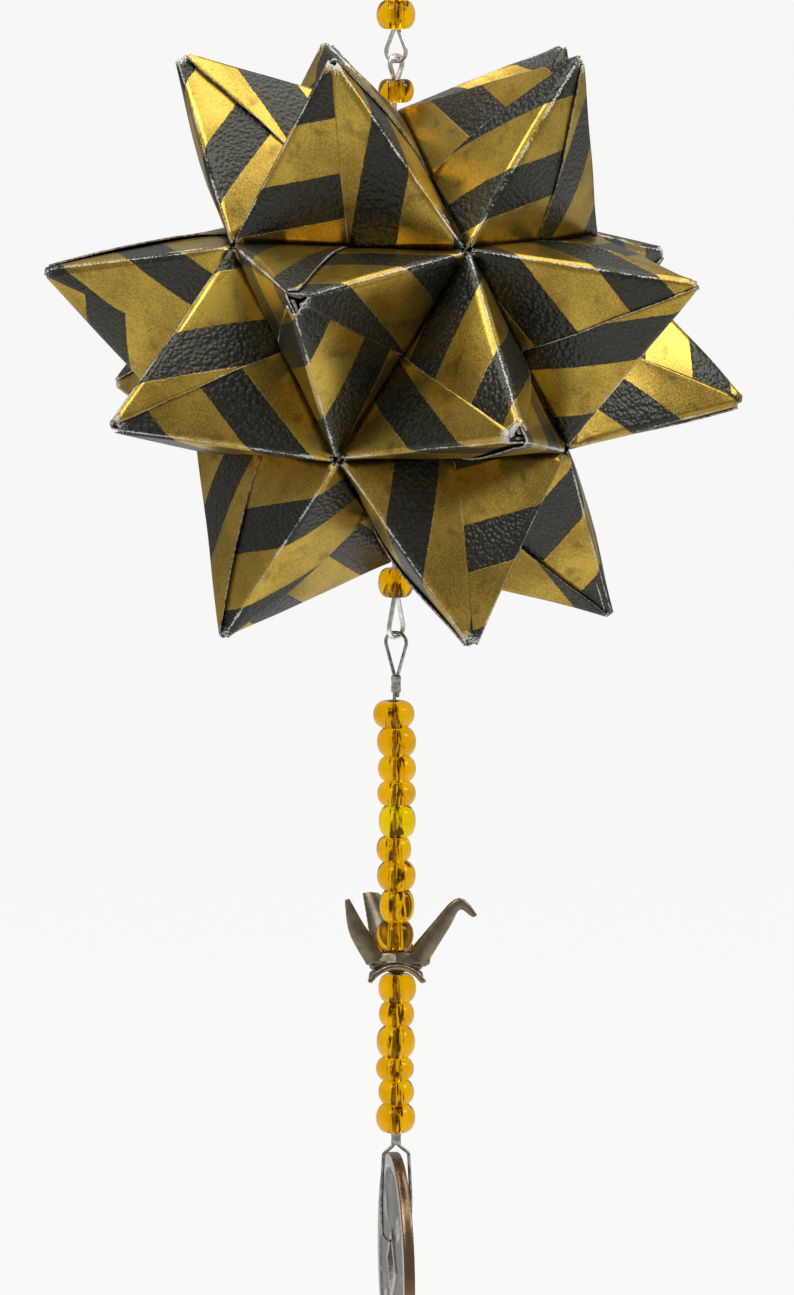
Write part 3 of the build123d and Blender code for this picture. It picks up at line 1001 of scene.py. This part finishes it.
@dataclass
class Crimp:
    """A soft metal tube pressed round two legs of the strand's wire."""

    node: str
    yaw: float
    leg: float = 0.19 * MM
    outside: float = 0.34 * MM
    inside: float = 0.196 * MM
    bevel: float = 0.07 * MM
    press: float = 0.03 * MM
    press_share: float = 0.25
    sharp_angle: float = 38.0
    sides: int = 48

    def ring(self, radius: float, height: float) -> np.ndarray:
        """Points round two circles side by side, at a height."""
        turns = full_turn(self.sides)
        reach = self.leg * np.abs(np.cos(turns)) + np.sqrt(radius**2 - (self.leg * np.sin(turns)) ** 2)
        turned = turns + radians(self.yaw)
        level = np.full(self.sides, height)
        return np.stack([reach * np.cos(turned), reach * np.sin(turned), level], axis=-1)

    def build(self, metal: bpy.types.Material) -> None:
        """Make the tube between the heights of the CAD crimp."""
        low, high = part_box(self.node)
        bottom, top = low.z, high.z
        middle = (bottom + top) / 2
        pressed = self.press_share * (top - bottom)
        section = (
            (self.outside - self.bevel, bottom),
            (self.outside, bottom + self.bevel),
            (self.outside, middle - pressed),
            (self.outside - self.press, middle),
            (self.outside, middle + pressed),
            (self.outside, top - self.bevel),
            (self.outside - self.bevel, top),
            (self.inside, top),
            (self.inside, bottom),
        )
        draft = MeshDraft()
        rings = [self.ring(radius, height) for radius, height in section]
        draft.add_tube(draft.add_points(np.stack(rings)), ring=True)
        tube = draft.make(f"{self.node}_tube", [metal])
        tube.data.set_sharp_from_angle(angle=radians(self.sharp_angle))
        stand_in(tube, self.node)


@dataclass
class CraneCharm:
    """A cast charm in the form of a folded crane, threaded through its back; sizes in millimetres."""

    height: float = 2.7
    bore: float = 1.3
    bore_sides: int = 32
    body_width: float = 2.6
    body_front: float = 3.6
    body_back: float = -3.2
    body_end_share: float = 0.25
    limb_flatness: float = 0.5
    limb_sides: int = 20
    neck: Stations = (
        (2.1, 0.1, 2.5, 50),
        (4.8, 3.9, 1.8, 55),
        (6.7, 6.2, 1.35, 0),
        (8.4, 4.8, 0.6, -62),
    )
    tail: Stations = (
        (-2.0, 0.1, 2.5, 118),
        (-4.1, 3.4, 1.9, 113),
        (-5.2, 6.7, 0.6, 108),
    )
    wing_thickness: float = 0.5
    wing_points: int = 9
    near_wing: Stations = (
        (0, 0, 0, 5.8, 1.2, 2),
        (2.5, 0.1, 0, 6.0, 1.6, 4),
        (5.0, 0.7, 0.1, 6.3, 1.8, 8),
    )
    far_wing: Stations = (
        (0, 0, 0, 5.8, 1.2, 38),
        (2.4, 1.9, -0.5, 4.6, 0.9, 44),
        (5.6, 6.4, -2.7, 1.9, 0.3, 58),
    )
    steps: int = 13
    voxel: float = 0.10
    smoothing: int = 9
    rub_level: float = 0.35
    rub_gain: float = 2.2

    def loft(self, draft: MeshDraft, rings: list[np.ndarray]) -> None:
        """Add a closed solid through a row of rings of points."""
        numbers = draft.add_points(np.stack(rings) * MM)
        draft.add_tube(numbers)
        draft.add_face(numbers[0])
        draft.add_face(numbers[-1])

    def between(self, stations: Stations) -> np.ndarray:
        """Rows of numbers on a smooth curve through the stations."""
        rows = np.array(stations, dtype=float)
        slopes = np.gradient(rows, axis=0)
        places = np.linspace(0, len(rows) - 1, self.steps)
        span = np.minimum(places.astype(int), len(rows) - 2)
        share = (places - span)[:, None]
        left, right = rows[span], rows[span + 1]
        return (
            left * (1 + 2 * share) * (1 - share) ** 2
            + right * (3 - 2 * share) * share**2
            + slopes[span] * share * (1 - share) ** 2
            - slopes[span + 1] * (1 - share) * share**2
        )

    def body(self, draft: MeshDraft) -> None:
        """Add the boat-shaped body."""
        sections = (
            (self.body_back, self.body_end_share),
            (0, 1),
            (self.body_front, self.body_end_share),
        )
        rings = []
        for place, share in sections:
            side, top = self.body_width / 2 * share, self.height / 2 * share
            half = [(side, 0), (side / 2, top), (-side / 2, top)]
            outline = half + [(-across, -up) for across, up in half]
            rings.append(np.array([(place, across, up) for across, up in outline]))
        self.loft(draft, rings)

    def limb(self, draft: MeshDraft, stations: Stations) -> None:
        """Add a flattened round limb; each station has its reach, height, depth and heading."""
        turns = full_turn(self.limb_sides)[:, None]
        across = np.array([0.0, 1.0, 0.0])
        rings = []
        for reach, height, depth, heading in self.between(stations):
            up = np.array([-sin(radians(heading)), 0, cos(radians(heading))])
            round_section = self.limb_flatness * np.cos(turns) * across + np.sin(turns) * up
            rings.append(np.array([reach, 0, height]) + depth / 2 * round_section)
        self.loft(draft, rings)

    def wing(self, draft: MeshDraft, side: int, stations: Stations) -> None:
        """Add one arched wing; each station has its reach, rise, shift, chord, arch and heading."""
        ahead = np.array([1.0, 0, 0])
        rings = []
        for reach, rise, shift, chord, arch, heading in self.between(stations):
            up = np.array([0, -side * sin(radians(heading)), cos(radians(heading))])
            radius = ((chord / 2) ** 2 + arch**2) / (2 * arch)
            places = np.linspace(-chord / 2, chord / 2, self.wing_points)
            above = np.stack([places, np.sqrt(radius**2 - places**2)], axis=1)
            below = above[::-1] * (radius - self.wing_thickness) / radius
            outline = np.concatenate([above, below]) - (0, radius)
            root = np.array([shift, side * reach, rise])
            rings.append(root + outline[:, :1] * ahead + outline[:, 1:] * up)
        self.loft(draft, rings)

    def cutter(self) -> bpy.types.Object:
        """A rod as thick as the bore, to cut it with."""
        turns = full_turn(self.bore_sides)
        circle = self.bore / 2 * np.stack([np.cos(turns), np.sin(turns), np.zeros_like(turns)], axis=1)
        ends = np.array([0, 0, 2 * self.height])
        draft = MeshDraft()
        self.loft(draft, [circle - ends, circle + ends])
        return draft.make("bore_cutter", [])

    def build(self, bronze: bpy.types.Material) -> None:
        """Cast the parts into one skin, bore it for the wire and dress it."""
        draft = MeshDraft()
        self.body(draft)
        self.limb(draft, self.neck)
        self.limb(draft, self.tail)
        self.wing(draft, -1, self.near_wing)
        self.wing(draft, 1, self.far_wing)
        crane = draft.make("crane_casting", [bronze])
        skin = crane.modifiers.new("skin", "REMESH")
        skin.mode = "VOXEL"
        skin.voxel_size = self.voxel * MM
        skin.use_smooth_shade = True
        soften = crane.modifiers.new("soften", "SMOOTH")
        soften.iterations = self.smoothing
        rod = self.cutter()
        bore = crane.modifiers.new("bore", "BOOLEAN")
        bore.object = rod
        evaluated = crane.evaluated_get(bpy.context.evaluated_depsgraph_get())
        cast = bpy.data.meshes.new_from_object(evaluated)
        crane.modifiers.clear()
        bpy.data.objects.remove(rod)
        crane.data = cast
        low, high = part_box("strand_bead_09")[0].z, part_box("strand_bead_10")[1].z
        cast.transform(Matrix.Translation((0, 0, (low + high) / 2)))
        self.mark(cast)
        dress(cast, bronze)
        stand_in(crane, "crane")

    def mark(self, mesh: bpy.types.Mesh) -> None:
        """Mark how far each point stands out of the casting, where hands rub it bright."""
        total = len(mesh.vertices)
        places = np.zeros(total * 3)
        normals = np.zeros(total * 3)
        mesh.vertices.foreach_get("co", places)
        mesh.vertices.foreach_get("normal", normals)
        places, normals = places.reshape(-1, 3), normals.reshape(-1, 3)
        ends = np.zeros(len(mesh.edges) * 2, dtype=np.int64)
        mesh.edges.foreach_get("vertices", ends)
        first, second = ends.reshape(-1, 2).T
        bend = np.zeros(total)
        ties = np.zeros(total)
        for near, other in ((first, second), (second, first)):
            step = places[other] - places[near]
            lean = -(step * normals[near]).sum(axis=1) / np.linalg.norm(step, axis=1)
            np.add.at(bend, near, lean)
            np.add.at(ties, near, 1)
        bend /= np.maximum(ties, 1)
        write_mark(mesh, "rubbed", np.clip(self.rub_level + self.rub_gain * bend, 0, 1))
        write_mark(mesh, "edge", np.zeros(total))


@dataclass
class Coin:
    """A round cast coin with a square hole, a raised rim and a plain relief of leaves."""

    diameter: float = 24.0 * MM
    thickness: float = 1.15 * MM
    recess: float = 0.18 * MM
    rim: float = 1.5 * MM
    hole: float = 4.2 * MM
    hole_frame: float = 0.7 * MM
    edge_radius: float = 0.2 * MM
    edge_steps: int = 9
    yaw: float = 7.0
    sides: int = 192
    bands: int = 60
    slope: float = 0.22 * MM
    leaves: int = 4
    leaf_ring: float = 7.3 * MM
    leaf_half_length: float = 2.2 * MM
    leaf_half_width: float = 1.5 * MM
    leaf_height: float = 0.75
    leaf_steepness: float = 1.6
    vein_level: float = 0.45
    vein_width: float = 0.4 * MM
    dots: int = 32
    dot_ring: float = 9.7 * MM
    dot_radius: float = 0.45 * MM
    dot_height: float = 0.6
    dot_steepness: float = 1.8
    field_rub: float = 0.25
    edge_rub: float = 0.8

    def off_axis(self, turn: np.ndarray, count: int) -> np.ndarray:
        """Angles from the nearest of some axes spread evenly round the coin."""
        step = 2 * pi / count
        return np.abs((turn / step) % 1 - 0.5) * step

    def relief(self, across: np.ndarray, up: np.ndarray) -> np.ndarray:
        """Height of the face over its field, from 0 to 1, at places in the coin's plane."""
        radius = np.hypot(across, up)
        square = np.abs(across) + np.abs(up)
        rim_start = self.diameter / 2 - self.rim
        rim = np.clip((radius - rim_start) / self.slope + 0.5, 0, 1)
        frame_end = (self.hole + 2 * self.hole_frame) / sqrt(2)
        frame_rise = np.clip((frame_end - square) / self.slope + 0.5, 0, 1)
        turn = np.arctan2(up, across)
        aside = self.off_axis(turn, self.leaves)
        length = (radius - self.leaf_ring) / self.leaf_half_length
        width = aside * self.leaf_ring / self.leaf_half_width
        leaf = np.clip((1 - length**2 - width**2) * self.leaf_steepness, 0, 1)
        leaf *= self.leaf_height * np.clip(self.vein_level + aside * radius / self.vein_width, 0, 1)
        off_dot = np.hypot(radius - self.dot_ring, self.off_axis(turn, self.dots) * self.dot_ring)
        dot = self.dot_height * np.clip((1 - off_dot / self.dot_radius) * self.dot_steepness, 0, 1)
        height = np.maximum.reduce([rim, frame_rise, leaf, dot])
        return height * height * (3 - 2 * height)

    def build(self, metal: bpy.types.Material) -> None:
        """Make both faces, the edge and the walls of the hole."""
        center = box_middle("coin")
        yaw = radians(self.yaw)
        normal = np.array([cos(yaw), sin(yaw), 0])
        aside = np.array([-sin(yaw), cos(yaw), 0])
        upward = np.array([0, 0, 1.0])
        turns = full_turn(self.sides)
        inner = self.hole / sqrt(2) / (np.abs(np.cos(turns)) + np.abs(np.sin(turns)))
        outer = self.diameter / 2 - self.edge_radius
        shares = np.linspace(0, 1, self.bands)[:, None]
        radius = inner + shares * (outer - inner)
        across, up = radius * np.cos(turns), radius * np.sin(turns)
        height = self.relief(across, up)
        draft = MeshDraft()
        flat = center + across[..., None] * aside + up[..., None] * upward
        marks = {"rubbed": self.field_rub + (1 - self.field_rub) * height, "edge": np.array(0.0)}
        faces = []
        for side in (1, -1):
            level = side * (self.thickness / 2 - self.recess * (1 - height))
            faces.append(draft.add_points(flat + level[..., None] * normal, marks))
            draft.add_tube(faces[-1])
        draft.add_tube(np.stack([faces[0][0], faces[1][0]]), rounded=False)
        steps = np.linspace(pi / 2, -pi / 2, self.edge_steps)[1:-1, None, None]
        flat_half = self.thickness / 2 - self.edge_radius
        rounding = outer + self.edge_radius * np.cos(steps)
        levels = np.sign(np.sin(steps)) * flat_half + self.edge_radius * np.sin(steps)
        spokes = np.cos(turns)[:, None] * aside + np.sin(turns)[:, None] * upward
        edge = center + rounding * spokes + levels * normal
        numbers = draft.add_points(edge, {"rubbed": np.array(self.edge_rub), "edge": np.array(1.0)})
        draft.add_tube(np.concatenate([faces[0][-1:], numbers, faces[1][-1:]]))
        coin = draft.make("square_holed_coin", [metal])
        stand_in(coin, "coin")


@dataclass(frozen=True)
class Lamp:
    """A soft square lamp."""

    name: str
    place: Place
    size: float
    power: float

    def hang(self, target: Place) -> None:
        """Add the lamp to the scene, facing a target."""
        light = bpy.data.lights.new(self.name, "AREA")
        light.size = self.size
        light.energy = self.power
        lamp = bpy.data.objects.new(self.name, light)
        lamp.location = self.place
        lamp.rotation_euler = (Vector(target) - Vector(self.place)).to_track_quat("-Z", "Y").to_euler()
        bpy.context.scene.collection.objects.link(lamp)


@dataclass
class Studio:
    """A wide pale floor, an even pale ground, soft lamps and a camera where the photograph was taken."""

    lens: float = 154.45
    sensor: float = 36.0
    clip_start: float = 0.01
    camera_place: Place = (0.0001, -0.5772, 0.0056)
    camera_tilt: float = 8.54
    floor_height: float = -0.30
    floor_reach: float = 40.0
    pale: Colour = (0.965, 0.965, 0.96, 1.0)
    soft: Colour = (0.80, 0.80, 0.80, 1.0)
    world_level: float = 0.33
    floor_evenness: float = 0.95
    sky_level: float = 0.965
    mirror_share: float = 0.15
    lamp_target: Place = (0.0, 0.0, -0.06)
    lamps: tuple[Lamp, ...] = (
        Lamp("key_lamp", (-0.34, -0.42, 0.52), 0.32, 1.95),
        Lamp("fill_lamp", (0.62, -0.12, 0.42), 0.30, 1.95),
        Lamp("top_lamp", (0.0, 0.05, 0.62), 0.80, 5.5),
    )

    def ground_share(self, tree: ShaderTree) -> Value:
        """How much of the even ground a ray shows: all of it, or less in a mirror."""
        camera, through, mirror = (
            tree.node("ShaderNodeLightPath", output=f"Is {name} Ray")
            for name in ("Camera", "Transmission", "Glossy")
        )
        return camera | through | (self.mirror_share * mirror)

    def floor(self) -> None:
        """Lay a matt floor that the camera sees as an even ground with a faint shadow."""
        tree = ShaderTree.material("studio_floor")
        matt = tree.node("ShaderNodeBsdfDiffuse", {}, {"Color": self.pale})
        glow = tree.node("ShaderNodeEmission", {}, {"Color": self.pale, "Strength": 1.0})
        share = self.floor_evenness * self.ground_share(tree)
        mixed = tree.node("ShaderNodeMixShader", {}, {0: share, 1: matt, 2: glow})
        tree.node("ShaderNodeOutputMaterial", {}, {"Surface": mixed})
        reach = self.floor_reach
        corners = [[(x, y, self.floor_height) for x in (-reach, reach)] for y in (-reach, reach)]
        draft = MeshDraft()
        draft.add_grid(draft.add_points(np.array(corners)))
        draft.make("studio_floor", [tree.owner])

    def surround(self) -> None:
        """Light the object softly from all sides, with the same even ground behind it."""
        tree = ShaderTree(bpy.data.worlds.new("studio_world"))
        soft = tree.node("ShaderNodeBackground", {}, {"Color": self.soft, "Strength": self.world_level})
        ground = tree.node("ShaderNodeBackground", {}, {"Color": self.pale, "Strength": self.sky_level})
        mixed = tree.node("ShaderNodeMixShader", {}, {0: self.ground_share(tree), 1: soft, 2: ground})
        tree.node("ShaderNodeOutputWorld", {}, {"Surface": mixed})
        bpy.context.scene.world = tree.owner

    def build(self) -> None:
        """Set the floor, the world, the lamps and the camera."""
        self.floor()
        self.surround()
        for lamp in self.lamps:
            lamp.hang(self.lamp_target)
        lens = bpy.data.cameras.new("photo_camera")
        lens.lens = self.lens
        lens.sensor_width = self.sensor
        lens.clip_start = self.clip_start
        camera = bpy.data.objects.new("photo_camera", lens)
        camera.location = self.camera_place
        camera.rotation_euler = (radians(90 - self.camera_tilt), 0, 0)
        bpy.context.scene.collection.objects.link(camera)
        bpy.context.scene.camera = camera
        bpy.context.scene.view_settings.view_transform = "Standard"


def dress_wires() -> None:
    """Give the three wires their bare metal."""
    silver = DrawnMetal("bright_silver", (0.95, 0.93, 0.88, 1.0), (0.72, 0.70, 0.65, 1.0), 0.24).make()
    grey = DrawnMetal("grey_steel", (0.46, 0.45, 0.40, 1.0), (0.21, 0.20, 0.175, 1.0), 0.28).make()
    dressed = (
        ("hanger_wire", silver, "silver_wire"),
        ("ball_wire", silver, "silver_wire"),
        ("strand_wire", grey, "beading_wire"),
    )
    for node, metal, slot in dressed:
        wire = frame["nodes"][node]
        dress(wire.data, metal)
        LOG.info("%s dressed", node)


def thread_beads() -> None:
    """Make every bead of the hanger, the ball and the strand."""
    amber = BeadGlass("clear_amber", (0.68, 0.32, 0.0, 1.0), (0.84, 0.44, 0.0, 1.0)).make()
    honey = BeadGlass("clear_honey", (0.76, 0.51, 0.0, 1.0), (0.86, 0.62, 0.0, 1.0)).make()
    strand_beads = 15
    strand_play = 0.25 * MM
    names = ["hanger_bead_01", "hanger_bead_02", "top_bead", "bottom_bead"]
    names += [f"strand_bead_{number:02d}" for number in range(1, strand_beads + 1)]
    for name in names:
        play = strand_play if name.startswith("strand") else 0.0
        slot, glass = ("honey_glass", honey) if name == "strand_bead_05" else ("amber_glass", amber)
        GlassBead(name, slot, play=play).build(glass)


def main() -> None:
    """Build the ornament from the ball outwards, then the studio round it."""
    logging.basicConfig(level=logging.INFO)
    PaperBall().build(StripedPaper().make(), RawPaper().make())
    thread_beads()
    dress_wires()
    crimp_metal = DrawnMetal("crimp_metal", (0.58, 0.56, 0.52, 1.0), (0.26, 0.25, 0.22, 1.0), 0.28).make()
    Crimp("upper_crimp", -25.0).build(crimp_metal)
    Crimp("lower_crimp", 7.0).build(crimp_metal)
    bronze = AgedCasting(
        "antique_bronze",
        rubbed=(0.37, 0.27, 0.155, 1.0),
        aged=(0.13, 0.117, 0.085, 1.0),
        edge=(0.37, 0.27, 0.155, 1.0),
        gloss=0.27,
    )
    CraneCharm().build(bronze.make())
    coin_metal = AgedCasting(
        "coin_metal",
        rubbed=(0.47, 0.44, 0.41, 1.0),
        aged=(0.15, 0.14, 0.13, 1.0),
        edge=(0.21, 0.135, 0.075, 1.0),
        gloss=0.28,
    )
    Coin().build(coin_metal.make())
    Studio().build()


if __name__ == "__main__":
    main()
